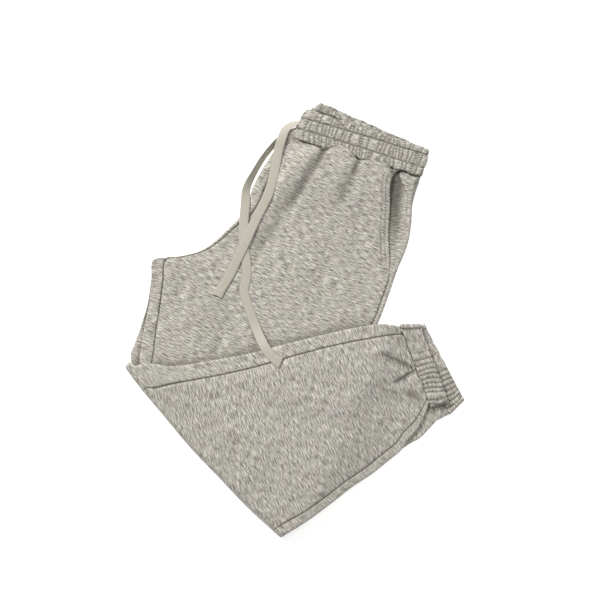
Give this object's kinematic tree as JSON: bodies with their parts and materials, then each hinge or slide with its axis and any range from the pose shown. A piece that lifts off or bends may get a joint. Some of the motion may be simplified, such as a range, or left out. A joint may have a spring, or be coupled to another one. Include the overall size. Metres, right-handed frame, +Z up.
{
  "type": "jogger sweatpants",
  "caption": "Fleece jogger sweatpants folded in half and up at the knee, lying flat, with an elastic waistband, flat drawcords, side pockets and gathered cuffs.",
  "frame": {"origin": "on the surface the joggers lie on, under the middle of the folded pile's box, drawcords left out", "axes": "+Z up out of the pile, +Y from the knee fold towards the waistband, +X towards the side seams and the cuffs"},
  "size_m": [0.492, 0.6318, 0.0301],
  "materials": {
    "fleece": "heather grey loopback fleece, matt, with short light and dark streaks",
    "tape": "flat woven cotton cord, plain light beige-grey, matt"
  },
  "bodies": {
    "root": {"waistband": "fleece", "left_front": "fleece", "left_back": "fleece", "right_front": "fleece", "right_back": "fleece", "folded_layers": "fleece", "left_cuff": "fleece", "right_cuff": "fleece", "left_pocket": "fleece", "right_pocket": "fleece", "drawcord_left": "tape", "drawcord_right": "tape"}
  },
  "joints": []
}
